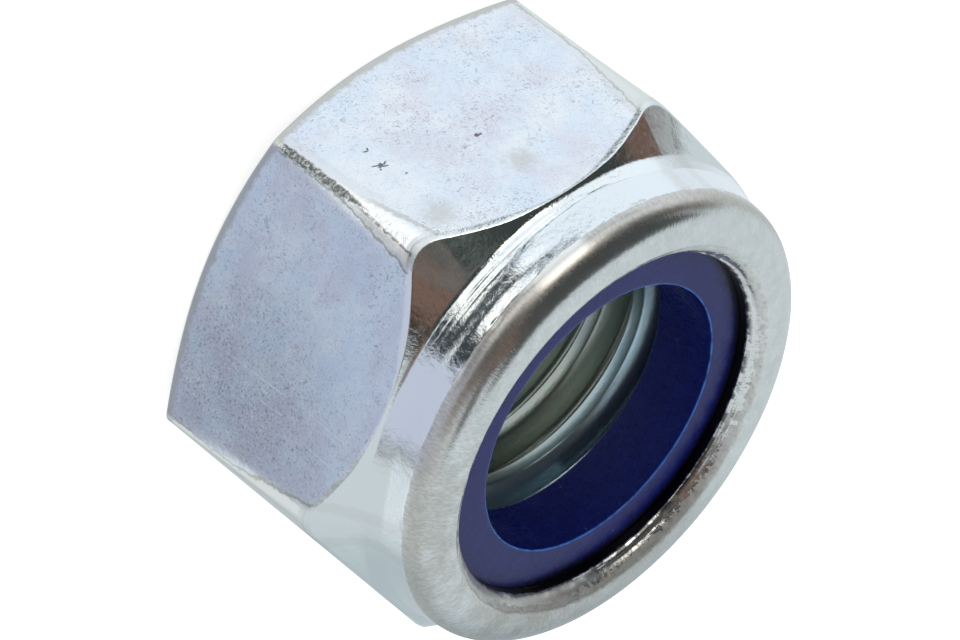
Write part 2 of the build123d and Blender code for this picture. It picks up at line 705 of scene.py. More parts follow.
@dataclass
class NylonRing:
    """The nylon ring clamped in the collar's pocket."""

    sizes: NutSizes
    columns: int = 240
    gap: float = 0.01
    outer_bevel: float = 0.55
    bore_ease: float = 0.035
    burr_depth: float = 0.025

    def build(self) -> bpy.types.Object:
        """Builds the ring's mesh by a full spin of its section.

        Returns:
            The ring as one closed object.
        """
        sizes = self.sizes
        outer_r = sizes.pocket_r - self.gap
        top = sizes.insert_top - self.gap
        floor = sizes.pocket_floor + self.gap
        section = eased_outline(
            [
                Corner(outer_r - self.outer_bevel, top),
                Corner(sizes.insert_bore_r, top, self.bore_ease, 12),
                Corner(sizes.insert_bore_r, floor, self.bore_ease, 10),
                Corner(outer_r, floor, 0.0, 6),
                Corner(outer_r, top - self.outer_bevel, 0.0, 4),
                Corner(outer_r - self.outer_bevel, top, 0.0, 2),
            ]
        )
        bm = bmesh.new()
        chain = [bm.verts.new((r, 0, z)) for r, z in section[:-1]]
        spin_in_sectors(bm, chain, self.columns, closed=True)
        return mesh_object(bm, "nylon_ring", self.dent)

    def dent(self, place: Vector) -> float:
        """Depth to which the cut edge of the bore is ragged.

        Args:
            place: The place, in millimetres.

        Returns:
            The depth, which is nought away from that edge.
        """
        off_bore = hypot(place.x, place.y) - self.sizes.insert_bore_r
        off_top = self.sizes.insert_top - place.z
        return self.burr_depth * swell(place, 2.6) * bell(off_bore, 0.06) * bell(off_top, 0.08)


# ---------------------------------------------------------------- finishes


@dataclass(frozen=True)
class Mottle:
    """Patches of noise over a piece.

    The scale is in features per millimetre, the octaves say how fine the noise gets, and the harshness
    says how strong its finer octaves are. Between the noise's start and full levels, the patches go from
    low to high.
    """

    scale: float
    octaves: float
    harshness: float
    start: float
    full: float
    low: float = 0.0
    high: float = 1.0


class Bench:
    """A node tree, with short calls for the nodes that the finishes and the studio share."""

    def __init__(self, tree: bpy.types.NodeTree) -> None:
        """Takes the node tree of a material or a world."""
        self.tree = tree

    def add(self, kind: str) -> bpy.types.Node:
        """Adds a node of a kind."""
        return self.tree.nodes.new(kind)

    def link(self, source: Socket, target: Socket) -> None:
        """Joins two sockets."""
        self.tree.links.new(source, target)

    def feed(self, value: Union[Paint, Vector], target: Socket) -> None:
        """Gives a socket its value.

        Args:
            value: A number, a colour, a vector or another socket's output.
            target: The socket, which takes a number as a grey level if it is one for colours.
        """
        if isinstance(value, Socket):
            self.link(value, target)
        elif target.type == "RGBA":
            red, green, blue = value if isinstance(value, tuple) else (value,) * 3
            target.default_value = (red, green, blue, 1.0)
        else:
            target.default_value = value

    def coordinate(self, name: str, scale: float = 1.0) -> Socket:
        """A coordinate of the piece or the world, scaled."""
        made = self.add("ShaderNodeTexCoord").outputs[name]
        return self.vector("SCALE", made, scale=scale)

    def vector(self, operation: str, first: Union[Socket, Vector],
               second: Union[Socket, Vector, None] = None, scale: Optional[float] = None) -> Socket:
        """Vector arithmetic.

        Args:
            operation: Blender's name of the operation.
            first: First vector.
            second: Second vector, where the operation takes one.
            scale: Number for a scaling.

        Returns:
            The result, which is a number for a dot product or a length.
        """
        made = self.add("ShaderNodeVectorMath")
        made.operation = operation
        self.feed(first, made.inputs[0])
        if second is not None:
            self.feed(second, made.inputs[1])
        if scale is not None:
            made.inputs["Scale"].default_value = scale
        single = operation in ("DOT_PRODUCT", "LENGTH")
        return made.outputs["Value" if single else "Vector"]

    def math(self, operation: str, first: Value, second: Value = 0.0) -> Socket:
        """Arithmetic on numbers.

        Args:
            operation: Blender's name of the operation.
            first: First number.
            second: Second number, where the operation takes one.

        Returns:
            The result.
        """
        made = self.add("ShaderNodeMath")
        made.operation = operation
        self.feed(first, made.inputs[0])
        self.feed(second, made.inputs[1])
        return made.outputs[0]

    def less(self, first: Value, second: Value) -> Socket:
        """The first number less the second."""
        return self.math("SUBTRACT", first, second)

    def times(self, first: Value, second: Value) -> Socket:
        """The product of two numbers."""
        return self.math("MULTIPLY", first, second)

    def off(self, value: Socket, middle: float) -> Socket:
        """How far a number is from a middle, on either side of it."""
        return self.math("ABSOLUTE", self.less(value, middle))

    def facing(self, angle: Socket, side: float) -> Socket:
        """One where an angle round the axis is that of a side, down to minus one right across."""
        return self.math("COSINE", self.less(angle, side))

    def parts(self, source: Socket) -> list[Socket]:
        """Takes a vector apart.

        Args:
            source: The vector.

        Returns:
            Its X, Y and Z.
        """
        made = self.add("ShaderNodeSeparateXYZ")
        self.link(source, made.inputs[0])
        return list(made.outputs)

    def joined(self, x: Value, y: Value, z: Value) -> Socket:
        """Puts a vector together.

        Args:
            x: Its X.
            y: Its Y.
            z: Its Z.

        Returns:
            The vector.
        """
        made = self.add("ShaderNodeCombineXYZ")
        for value, target in zip((x, y, z), made.inputs):
            self.feed(value, target)
        return made.outputs[0]

    def span(self, value: Socket, low: float, high: float, to_low: float = 0.0, to_high: float = 1.0,
             smooth: bool = False) -> Socket:
        """Maps a number from one range to another, and holds it past its ends.

        Args:
            value: The number.
            low: Start of its range.
            high: End of its range.
            to_low: Result at the start.
            to_high: Result at the end.
            smooth: Whether the change is eased at both ends.

        Returns:
            The result.
        """
        made = self.add("ShaderNodeMapRange")
        if smooth:
            made.interpolation_type = "SMOOTHSTEP"
        ranges = {"From Min": low, "From Max": high, "To Min": to_low, "To Max": to_high}
        for name, number in ranges.items():
            made.inputs[name].default_value = number
        self.link(value, made.inputs["Value"])
        return made.outputs["Result"]

    def fading(self, value: Socket, start: float, end: float, smooth: bool = False) -> Socket:
        """One up to the start of a range, and nought past its end."""
        return self.span(value, start, end, 1.0, 0.0, smooth)

    def blend(self, factor: Value, first: Paint, second: Paint, mode: str = "MIX") -> Socket:
        """Mixes two colours.

        Args:
            factor: Nought for the first colour and one for the second.
            first: The colour below.
            second: The colour above.
            mode: Blender's name of the way in which they mix.

        Returns:
            The mixed colour.
        """
        made = self.add("ShaderNodeMix")
        made.data_type = "RGBA"
        made.blend_type = mode
        self.feed(factor, made.inputs["Factor"])
        self.feed(first, made.inputs[6])
        self.feed(second, made.inputs[7])
        return made.outputs[2]

    def grain(self, place: Socket, scale: float, octaves: float, harshness: float = 0.55,
              twist: float = 0.0) -> Socket:
        """Noise over the piece.

        Args:
            place: Where the noise is read, in millimetres.
            scale: Features per millimetre.
            octaves: How fine the noise gets.
            harshness: How strong its finer octaves are.
            twist: How far the noise is twisted on itself.

        Returns:
            The noise, mostly between 0.3 and 0.7.
        """
        made = self.add("ShaderNodeTexNoise")
        made.inputs["Scale"].default_value = scale
        made.inputs["Detail"].default_value = octaves
        made.inputs["Roughness"].default_value = harshness
        made.inputs["Distortion"].default_value = twist
        self.link(place, made.inputs["Vector"])
        return made.outputs["Fac"]

    def mottled(self, place: Socket, mottle: Mottle) -> Socket:
        """Patches of noise over the piece."""
        noisy = self.grain(place, mottle.scale, mottle.octaves, mottle.harshness)
        return self.span(noisy, mottle.start, mottle.full, mottle.low, mottle.high)

    def stretched(self, place: Socket, scale: tuple[float, float, float]) -> Socket:
        """Stretches the place where a noise is read, for streaks.

        Args:
            place: The place.
            scale: How far its X, Y and Z are stretched.

        Returns:
            The stretched place.
        """
        made = self.add("ShaderNodeMapping")
        made.vector_type = "TEXTURE"
        made.inputs["Scale"].default_value = scale
        self.link(place, made.inputs["Vector"])
        return made.outputs["Vector"]

    def bump(self, height: Socket, depth: float) -> Socket:
        """Relief of a skin.

        Args:
            height: The height at each place.
            depth: How many millimetres a height of one stands up.

        Returns:
            The bumped normal.
        """
        made = self.add("ShaderNodeBump")
        made.inputs["Distance"].default_value = depth * MM
        self.link(height, made.inputs["Height"])
        return made.outputs["Normal"]


class Coat:
    """A colour, or a grey level for a roughness, that is built up in layers."""

    def __init__(self, bench: Bench, colour: Paint) -> None:
        """Starts with the lowest layer."""
        self.bench = bench
        self.colour = colour

    def lay(self, zone: Socket, paint: Paint, cover: float = 1.0) -> None:
        """Lays a paint over what is there.

        Args:
            zone: Where the paint goes: one within it, and nought outside.
            paint: The paint.
            cover: How much of what lies below is hidden.
        """
        factor = zone if cover == 1.0 else self.bench.times(zone, cover)
        self.colour = self.bench.blend(factor, self.colour, paint)

    def tinted(self, tint: Paint) -> Socket:
        """What is there, seen through a tint."""
        return self.bench.blend(1.0, self.colour, tint, "MULTIPLY")


class Finish:
    """A material with its bench and shader."""

    def __init__(self, name: str) -> None:
        """Starts the material.

        Args:
            name: The material's name.
        """
        self.material = bpy.data.materials.new(name)
        self.material.use_nodes = True
        self.bench = Bench(self.material.node_tree)
        self.shader = self.material.node_tree.nodes["Principled BSDF"]
        self.place = self.bench.coordinate("Object", 1 / MM)

    def set(self, name: str, value: Paint) -> None:
        """Gives one of the shader's sockets a value."""
        self.bench.feed(value, self.shader.inputs[name])


@dataclass(frozen=True)
class Spot:
    """A round mark on one of the hexagon's faces, placed along the face and up it, in millimetres."""

    face: int
    along: float
    height: float
    reach: float


@dataclass(frozen=True)
class Scratch:
    """A straight mark on one of the hexagon's faces, between two places along the face and up it."""

    face: int
    start: Point
    end: Point


class Zones:
    """Places on the steel body, worked out from the piece's own coordinates in millimetres.

    Each zone is one within it and nought outside.
    """

    FACE_STEP = 20.0
    DULL_SHARE = 0.31
    SCRATCH_TAPER = 0.3
    HAIRS_ROUND = 50.0
    HAIRS_ALONG = 2.2

    def __init__(self, finish: Finish, body: SteelBody) -> None:
        """Works out the places and noises that the zones share.

        Args:
            finish: The finish that the zones are for.
            body: The body that they lie on.
        """
        bench = finish.bench
        self.bench = bench
        self.place = finish.place
        self.body = body
        self.crease_z = body.crease.z
        self.fine = bench.grain(self.place, 5.5, 3.0, 0.6)
        self.ragged = bench.grain(self.place, 2.6, 4.0, 0.6)
        x, y, self.height = bench.parts(self.place)
        self.radius = bench.vector("LENGTH", bench.joined(x, y, 0.0))
        self.angle = bench.math("ARCTAN2", y, x)

        sixths = bench.math("DIVIDE", self.angle, 2 * HALF_SIDE)
        face = bench.math("ROUND", sixths)
        off_flat = bench.times(bench.less(sixths, face), 2 * HALF_SIDE)
        across_face = bench.times(self.radius, bench.math("COSINE", off_flat))
        self.off_face = bench.less(body.sizes.apothem, across_face)
        self.along_face = bench.times(self.radius, bench.math("SINE", off_flat))
        off_corner = bench.less(HALF_SIDE, bench.math("ABSOLUTE", off_flat))
        self.off_corner = bench.times(self.radius, off_corner)
        numbered = bench.math("ADD", self.along_face, bench.times(face, self.FACE_STEP))
        self.sheet = bench.joined(numbered, self.height, 0.0)

        over = bench.less(self.height, body.underfill_start)
        growth = bench.math(
            "MAXIMUM", bench.times(over, body.early_growth), bench.times(over, body.late_growth)
        )
        corner_round = bench.math("ADD", body.corner_round_middle, growth)
        half_face = bench.times(bench.less(body.sizes.apothem, corner_round), tan(HALF_SIDE))
        self.past_face = bench.less(bench.math("ABSOLUTE", self.along_face), half_face)
        self.off_shine = bench.less(self.past_face, bench.times(corner_round, self.DULL_SHARE))

        facet_fall = bench.times(bench.less(self.radius, body.root_r), tan(body.facet_angle))
        self.below_facet = bench.less(bench.less(body.hex_height, facet_fall), self.height)
        off_bearing = bench.less(self.radius, body.sizes.apothem - body.bearing_step)
        chamfer_rise = bench.times(off_bearing, tan(body.bearing_chamfer))
        self.above_chamfer = bench.less(self.height, chamfer_rise)
        off_centre = bench.times(bench.facing(self.angle, body.mouth_offset_angle), body.mouth_offset)
        self.mouth = bench.less(self.radius, off_centre)

    def shared(self, *zones: Value) -> Socket:
        """Where all of some zones overlap."""
        return reduce(self.bench.times, zones)

    def either(self, first: Value, second: Value) -> Socket:
        """Where at least one of two zones is."""
        return self.bench.math("MAXIMUM", first, second)

    def rest(self, zone: Socket) -> Socket:
        """All that a zone leaves out."""
        return self.bench.less(1.0, zone)

    def wobbled(self, value: Socket, wobble: Socket, amount: float) -> Socket:
        """A value shifted up and down by a noise, so that a border isn't drawn too clean."""
        return self.bench.math("ADD", value, self.bench.span(wobble, 0.25, 0.75, -amount, amount))

    def line(self, value: Socket, middle: float, half: float, soft: float) -> Socket:
        """One on a stripe round a value's middle, and nought past its soft sides."""
        return self.bench.fading(self.bench.off(value, middle), half, half + soft, smooth=True)

    def spot(self, spot: Spot, soft: float, wobble: Socket, amount: float) -> Socket:
        """Zone of a round mark.

        Args:
            spot: The mark.
            soft: Width of its soft border.
            wobble: Noise that shifts the border.
            amount: How far the noise shifts it.

        Returns:
            The zone.
        """
        centre = Vector((spot.along + spot.face * self.FACE_STEP, spot.height, 0))
        off = self.bench.vector("LENGTH", self.bench.vector("SUBTRACT", self.sheet, centre))
        return self.bench.fading(self.wobbled(off, wobble, amount), spot.reach, spot.reach + soft, True)

    def scratch(self, scratch: Scratch, half: float) -> Socket:
        """Zone of a straight scratch.

        Args:
            scratch: The scratch.
            half: Half its width.

        Returns:
            The zone, which tapers off at both ends.
        """
        start, end = scratch.start, scratch.end
        first = Vector((start[0] + scratch.face * self.FACE_STEP, start[1], 0))
        run = Vector((end[0] - start[0], end[1] - start[1], 0))
        off = self.bench.vector("SUBTRACT", self.sheet, first)
        along = self.bench.vector("DOT_PRODUCT", off, run.normalized())
        across = self.bench.vector("DOT_PRODUCT", off, Vector((run.y, -run.x, 0)).normalized())
        taper = min(self.SCRATCH_TAPER, run.length / 3)
        within = self.line(along, run.length / 2, run.length / 2 - taper, taper)
        return self.shared(within, self.line(across, 0.0, half, half))

    @cached_property
    def bored(self) -> Socket:
        """The threaded bore."""
        return self.bench.fading(self.radius, self.body.rim_bore_r - 0.45, self.body.rim_bore_r - 0.4)

    @cached_property
    def rim(self) -> Socket:
        """The rolled rim, from the crease up."""
        height = self.wobbled(self.height, self.ragged, 0.04)
        return self.bench.span(height, self.crease_z - 0.02, self.crease_z + 0.02)

    @cached_property
    def matte(self) -> Socket:
        """The rim's shoulder, which the rolling left dull."""
        height = self.wobbled(self.height, self.fine, 0.10)
        low = self.bench.fading(height, self.crease_z + 0.55, self.crease_z + 0.80)
        outer = self.bench.span(self.radius, self.body.rim_bevel_r, self.body.rim_bevel_r + 0.2)
        return self.shared(low, outer)

    @cached_property
    def curled(self) -> Socket:
        """The crumbly ridge where the rim curls over, and all that lies within it."""
        mouth = self.wobbled(self.mouth, self.ragged, 0.10)
        within = self.bench.fading(mouth, self.body.rim_bevel_r, self.body.rim_bevel_r + 0.14)
        return self.shared(self.rim, within)

    @cached_property
    def bevel(self) -> Socket:
        """The bevel by which the rim turns down to its raw edge."""
        mouth = self.wobbled(self.mouth, self.fine, 0.12)
        within = self.bench.fading(mouth, self.body.rim_turn_r - 0.03, self.body.rim_turn_r + 0.03)
        return self.shared(self.rim, within)

    @cached_property
    def lip(self) -> Socket:
        """The foot of the raw edge and what lies under the rim, where no light gets in."""
        height = self.wobbled(self.height, self.fine, 0.05)
        edge_r = self.body.rim_bore_r
        insert_top = self.body.sizes.insert_top
        return self.shared(
            self.bench.fading(self.mouth, edge_r + 0.12, edge_r + 0.18),
            self.bench.fading(height, insert_top + 0.30, insert_top + 0.36),
            self.bench.span(self.height, insert_top - 0.3, insert_top - 0.2),
            self.rest(self.bored),
        )

    @cached_property
    def formed(self) -> Socket:
        """The skin that a die shaped: facets, corners, chamfer and collar."""
        off_face = self.wobbled(self.off_face, self.fine, 0.012)
        flat = self.shared(self.bench.fading(off_face, 0.02, 0.035), self.rest(self.bored))
        return self.shared(self.rest(flat), self.rest(self.either(self.rim, self.bored)))

    @cached_property
    def radial_place(self) -> Socket:
        """Where noise is read for marks that run straight towards the bore."""
        along = [self.bench.times(value, self.HAIRS_ALONG) for value in (self.radius, self.height)]
        return self.bench.joined(self.bench.times(self.angle, self.HAIRS_ROUND), *along)

    @cached_property
    def hairs(self) -> Socket:
        """Noise of fine hairs that run straight towards the bore."""
        return self.bench.grain(self.radial_place, 2.2, 3.0, 0.6)


@dataclass(frozen=True)
class ZincPlate:
    """Blue-white zinc plating on cold formed steel, handled and a little grimy, with some painted shade,
    highlight, glints and reflection.
    """

    bright: Colour = (0.93, 0.945, 0.955)
    cool: Colour = (0.82, 0.88, 0.95)
    pink: Colour = (0.82, 0.79, 0.84)
    beige: Colour = (0.58, 0.555, 0.50)
    olive: Colour = (0.34, 0.35, 0.27)
    worn: Colour = (0.72, 0.69, 0.66)
    cream: Colour = (0.80, 0.79, 0.73)
    chalky: Colour = (1.0, 0.99, 0.97)
    gritty: Colour = (0.075, 0.09, 0.09)
    tarnish: Colour = (0.60, 0.60, 0.58)
    grime: Colour = (0.20, 0.19, 0.19)
    crimped: Colour = (0.70, 0.67, 0.63)
    satin: Colour = (0.78, 0.79, 0.78)
    rolled: Colour = (0.88, 0.91, 0.92)
    cut: Colour = (0.43, 0.47, 0.42)
    # painted reflection: light blue of the bore's top, next to the ring
    bore_reflection: Colour = (0.52, 0.67, 0.75)
    turned_in: Colour = (0.95, 0.93, 0.91)
    shade: Colour = (0.03, 0.03, 0.035)
    grazed: Colour = (0.66, 0.65, 0.61)
    # colour of the painted highlight low on the rim
    painted_highlight: Colour = (0.98, 0.96, 0.91)
    # tint of the painted shade on one side of the rim
    rim_shade: Colour = (0.74, 0.73, 0.72)

    beaten_side: float = radians(112)
    # the next two are the sides of the painted highlight and of the painted shade on the rim
    painted_highlight_side: float = radians(13)
    rim_shade_side: float = radians(170)

    bright_patches: Mottle = Mottle(0.55, 4.0, 0.6, 0.38, 0.62)
    pink_patches: Mottle = Mottle(0.45, 5.0, 0.65, 0.47, 0.60)
    hairline_patches: Mottle = Mottle(0.7, 3.0, 0.55, 0.42, 0.56)
    scuffs: Mottle = Mottle(0.9, 5.0, 0.7, 0.44, 0.60)
    satin_patches: Mottle = Mottle(1.7, 4.0, 0.65, 0.36, 0.64)
    grazes: Mottle = Mottle(0.9, 3.0, 0.55, 0.42, 0.58)
    crumbs: Mottle = Mottle(3.6, 4.0, 0.7, 0.36, 0.56)
    raw_grit: Mottle = Mottle(2.0, 3.0, 0.6, 0.42, 0.52)
    tick_patches: Mottle = Mottle(1.3, 2.0, 0.55, 0.48, 0.60)

    face_roughness: Mottle = Mottle(2.1, 3.0, 0.55, 0.3, 0.7, 0.20, 0.30)
    formed_roughness: Mottle = Mottle(1.4, 2.0, 0.55, 0.3, 0.7, 0.05, 0.11)
    saddle_roughness: float = 0.34
    bore_roughness: float = 0.28
    rim_roughness: float = 0.19
    matte_roughness: float = 0.32
    curled_roughness: Point = (0.52, 0.74)
    bevel_roughness: Point = (0.20, 0.34)
    skin_depth: float = 0.010
    radial_depth: float = 0.005

    dull_end: Spot = Spot(1, 3.6, 3.4, 1.0)
    stains: tuple[Spot, ...] = (Spot(0, 3.83, 7.40, 0.2), Spot(0, 0.1, 7.3, 0.1))
    pits: tuple[Spot, ...] = (
        Spot(0, 3.66, 4.36, 0.07), Spot(0, 0.32, 5.41, 0.06),
        Spot(0, 0.18, 5.43, 0.03), Spot(0, 3.31, 5.21, 0.01),
    )
    gouges: tuple[Scratch, ...] = (
        Scratch(0, (3.99, 4.16), (3.60, 4.38)), Scratch(0, (3.76, 4.36), (3.42, 4.56)),
        Scratch(0, (3.62, 4.42), (3.36, 4.28)), Scratch(0, (3.70, 4.34), (3.84, 4.58)),
        Scratch(0, (3.70, 3.45), (3.44, 3.55)), Scratch(0, (3.50, 3.52), (3.40, 3.36)),
    )
    scratches: tuple[Scratch, ...] = (
        Scratch(1, (1.95, 2.2), (1.86, 5.6)), Scratch(1, (1.80, 6.0), (1.90, 8.8)),
        Scratch(1, (2.85, 6.8), (2.93, 8.7)), Scratch(1, (2.60, 4.1), (2.50, 5.9)),
        Scratch(1, (2.02, 7.4), (2.05, 8.5)),
    )

    def dress(self, piece: bpy.types.Object, body: SteelBody) -> None:
        """Gives the plating to the steel body.

        Args:
            piece: The body's object.
            body: The sizes that it was built to.
        """
        finish = Finish("zinc_plate")
        bench = finish.bench
        zones = Zones(finish, body)
        beaten = bench.span(bench.facing(zones.angle, self.beaten_side), 0.2, 0.7)

        coat = self.faces(zones)
        coat.lay(zones.formed, self.rolled)
        self.wear_borders(zones, coat)
        under = bench.fading(zones.height, 0.01, 0.03)
        coat.lay(zones.shared(under, bench.mottled(zones.place, self.scuffs)), self.worn, cover=0.6)
        coat.lay(zones.rim, self.rim_colour(zones, beaten))
        self.mark_rim(zones, beaten, coat)
        floor = body.sizes.pocket_floor
        # painted reflection: the bore turns light blue towards the ring
        bore_reflection_zone = bench.span(zones.height, floor - 1.6, floor - 0.9)
        coat.lay(zones.bored, bench.blend(bore_reflection_zone, self.cut, self.bore_reflection))
        coat.lay(zones.lip, self.shade)

        finish.set("Base Color", coat.colour)
        finish.set("Metallic", 1.0)
        finish.set("Roughness", self.roughness(zones, beaten))
        finish.set("Normal", self.relief(zones))
        piece.data.materials.append(finish.material)

    def faces(self, zones: Zones) -> Coat:
        """Cool plating with lavender and tarnished patches, hairline marks, stains, pits and scratches.

        Args:
            zones: The zones of the body.

        Returns:
            The coat of the hexagon's faces, for the others to go over.
        """
        bench, place, fine = zones.bench, zones.place, zones.fine
        coat = Coat(bench, self.cool)
        coat.lay(bench.mottled(place, self.bright_patches), self.bright)
        coat.lay(bench.mottled(place, self.pink_patches), self.pink, cover=0.8)
        dull = zones.spot(self.dull_end, 6.0, zones.ragged, 0.6)
        coat.lay(dull, coat.tinted(self.tarnish), cover=0.62)

        twisted = bench.grain(place, 3.0, 3.0, 0.6, twist=1.4)
        hairline = bench.fading(bench.off(twisted, 0.5), 0.006, 0.024)
        patches = bench.mottled(place, self.hairline_patches)
        coat.lay(zones.shared(hairline, bench.span(fine, 0.46, 0.54), patches), self.grime, cover=0.60)
        specks = bench.grain(place, 11.0, 2.0, 0.6)
        for start, full, share, dull_share, paint in (
            (0.56, 0.66, 0.14, 0.5, self.grime), (0.40, 0.30, 0.2, 0.62, self.bright),
        ):
            crowding = bench.span(dull, 0.0, 1.0, share, dull_share)
            coat.lay(zones.shared(bench.span(specks, start, full), crowding), paint)

        for stain in self.stains:
            coat.lay(zones.spot(stain, 0.7, fine, 0.35), self.beige, cover=0.5)
        for pit in self.pits:
            coat.lay(zones.spot(pit, 0.05, fine, 0.07), self.grime)
        for gouge in self.gouges:
            torn = bench.span(fine, 0.36, 0.46)
            coat.lay(zones.shared(zones.scratch(gouge, 0.022), torn), self.grime)
        for scratch in self.scratches:
            broken = bench.span(fine, 0.42, 0.52)
            coat.lay(zones.shared(zones.scratch(scratch, 0.016), broken), WHITE, cover=0.5)
        return coat

    def wear_borders(self, zones: Zones, coat: Coat) -> None:
        """Wears the faces' borders: a gritty ridge with painted glints on each corner, dull bands beside
        it, a ragged foot.

        Args:
            zones: The zones of the body.
            coat: The coat to lay the wear on.
        """
        bench = zones.bench
        body = zones.body
        apothem = body.sizes.apothem
        past_face = zones.wobbled(zones.past_face, zones.ragged, 0.10)
        shine = zones.wobbled(zones.off_shine, zones.fine, 0.05)
        rounded = bench.span(past_face, -0.04, 0.0)
        below = bench.span(zones.below_facet, 0.10, 0.16)
        after = bench.fading(zones.along_face, -0.1, 0.1)
        risen = bench.span(zones.above_chamfer, 0.2, 0.5)
        rubbed_corner = zones.line(zones.angle, middle=HALF_SIDE, half=0.40, soft=0.05)
        others = zones.rest(rubbed_corner)
        filled = bench.fading(zones.height, body.underfill_start + 0.2, body.underfill_start + 1.2)

        haze = zones.line(past_face, middle=-0.15, half=0.10, soft=0.25)
        coat.lay(zones.shared(haze, zones.either(others, filled)), self.worn, cover=0.30)
        band = zones.shared(rounded, bench.fading(shine, 0.0, 0.03), after, below, zones.rest(filled))
        rubbed = bench.blend(bench.span(zones.ragged, 0.35, 0.60), self.tarnish, self.worn)
        coat.lay(zones.shared(band, rubbed_corner), rubbed, cover=0.95)
        coat.lay(zones.shared(rounded, others, below), self.cream, cover=0.8)
        parting = zones.shared(
            zones.line(shine, middle=0.02, half=0.02, soft=0.05), after, rubbed_corner, below,
            zones.rest(filled), bench.span(zones.fine, 0.36, 0.50),
        )
        coat.lay(parting, self.grime, cover=0.85)

        broad = zones.line(past_face, middle=-0.02, half=0.03, soft=0.09)
        broad = zones.shared(broad, zones.rest(zones.either(after, filled)), below)
        coat.lay(broad, self.beige, cover=0.65)
        foot = bench.fading(zones.wobbled(zones.above_chamfer, zones.ragged, 0.12), 0.24, 0.40)
        outer = bench.span(zones.radius, apothem - 0.6, apothem - 0.5)
        coat.lay(zones.shared(foot, outer), self.beige, cover=0.85)
        thin = zones.line(past_face, middle=-0.02, half=0.02, soft=0.05)
        sides = zones.either(zones.shared(after, rubbed_corner), zones.shared(others, 0.6))
        coat.lay(zones.shared(thin, sides, below, risen), self.olive, cover=0.7)

        start = body.underfill_start
        ridge_half = bench.span(zones.height, start, start + 1.4, 0.15, -0.05)
        off_ridge = bench.less(zones.wobbled(zones.off_corner, zones.fine, 0.05), ridge_half)
        outermost = bench.span(zones.radius, apothem - 0.2, apothem - 0.1)
        ridge = zones.shared(bench.fading(off_ridge, -0.04, 0.03), rubbed_corner, risen, outermost)
        crushed = bench.grain(bench.stretched(zones.place, (1.0, 1.0, 0.6)), 7.0, 3.0, 0.7)
        grit_and_glints = Coat(bench, self.gritty)
        grit_and_glints.lay(bench.span(crushed, 0.46, 0.66), self.tarnish)
        # painted glints: white flecks in the corner's grit
        grit_and_glints.lay(bench.span(crushed, 0.68, 0.74), WHITE)
        coat.lay(ridge, grit_and_glints.colour, cover=0.94)

    def rim_colour(self, zones: Zones, beaten: Socket) -> Socket:
        """Warm grey of the rolled rim, combed towards the bore, with painted shade on one side and a
        painted highlight low on another.

        Args:
            zones: The zones of the body.
            beaten: The side on which the rim took the hardest blow.

        Returns:
            The colour.
        """
        bench, place, crease_z = zones.bench, zones.place, zones.crease_z
        off_bevel = zones.rest(zones.bevel)
        coat = Coat(bench, self.satin)
        coat.lay(bench.mottled(place, self.satin_patches), self.rolled, cover=0.8)
        coat.lay(zones.matte, self.crimped)
        coat.lay(zones.shared(beaten, bench.mottled(place, self.grazes)), self.grazed, cover=0.7)
        streaks = bench.blend(bench.span(zones.hairs, 0.36, 0.64), 0.84, 1.07)
        combed = zones.either(zones.either(zones.matte, beaten), 0.3)
        coat.colour = coat.tinted(bench.blend(combed, WHITE, streaks))
        coat.lay(zones.bevel, self.turned_in, cover=0.6)
        turned = bench.blend(bench.mottled(place, self.crumbs), self.cream, self.chalky)
        coat.lay(zones.shared(zones.curled, off_bevel), turned, cover=0.85)
        # painted shade: away from its bevel, the rim is tinted darker on one side
        rim_shade = bench.span(bench.facing(zones.angle, self.rim_shade_side), 0.5, 0.9, smooth=True)
        coat.lay(zones.shared(rim_shade, off_bevel), coat.tinted(self.rim_shade))
        height = zones.wobbled(zones.height, zones.fine, 0.08)
        low = bench.fading(height, crease_z + 0.35, crease_z + 0.60)
        # painted highlight: a near-white stripe with sharp sides, low on the rim's shoulder
        painted_highlight = zones.line(zones.angle, middle=self.painted_highlight_side, half=0.10, soft=0.05)
        coat.lay(zones.shared(painted_highlight, low), self.painted_highlight, cover=0.9)
        return coat.colour

    def mark_rim(self, zones: Zones, beaten: Socket, coat: Coat) -> None:
        """Lays grime on the rim: along its ridge, in its jagged edge and in ticks across its bevel.

        Args:
            zones: The zones of the body.
            beaten: The side on which the rim took the hardest blow.
            coat: The coat to lay the grime on.
        """
        bench, place, body = zones.bench, zones.place, zones.body
        wandering = zones.wobbled(zones.mouth, bench.grain(place, 1.8, 3.0), 0.08)
        ridge = zones.line(wandering, middle=body.rim_bevel_r, half=0.01, soft=0.05)
        coat.lay(zones.shared(zones.rim, ridge, beaten), self.grime, cover=0.3)
        edge = bench.fading(zones.mouth, body.rim_bore_r + 0.03, body.rim_bore_r + 0.12)
        jagged = zones.shared(zones.rim, edge, bench.mottled(place, self.raw_grit))
        coat.lay(jagged, self.shade, cover=0.85)
        patches = bench.mottled(place, self.tick_patches)
        ticks = zones.shared(zones.bevel, bench.span(zones.hairs, 0.55, 0.62), patches)
        coat.lay(ticks, self.grime, cover=0.6)

    def roughness(self, zones: Zones, beaten: Socket) -> Socket:
        """Roughness of each part of the skin.

        Args:
            zones: The zones of the body.
            beaten: The side on which the rim took the hardest blow.

        Returns:
            The roughness.
        """
        bench, place = zones.bench, zones.place
        rough = Coat(bench, bench.mottled(place, self.face_roughness))
        rough.lay(zones.formed, bench.mottled(place, self.formed_roughness))
        saddle = zones.line(zones.below_facet, middle=0.20, half=0.16, soft=0.05)
        rough.lay(zones.shared(saddle, bench.span(zones.past_face, 0.0, 0.1)), self.saddle_roughness)
        rough.lay(zones.bored, self.bore_roughness)
        rough.lay(zones.rim, self.rim_roughness)
        rough.lay(zones.shared(zones.rim, zones.matte), self.matte_roughness)
        rough.lay(zones.curled, bench.span(zones.fine, 0.40, 0.60, *self.curled_roughness))
        rough.lay(zones.bevel, bench.blend(beaten, *self.bevel_roughness))
        return rough.colour

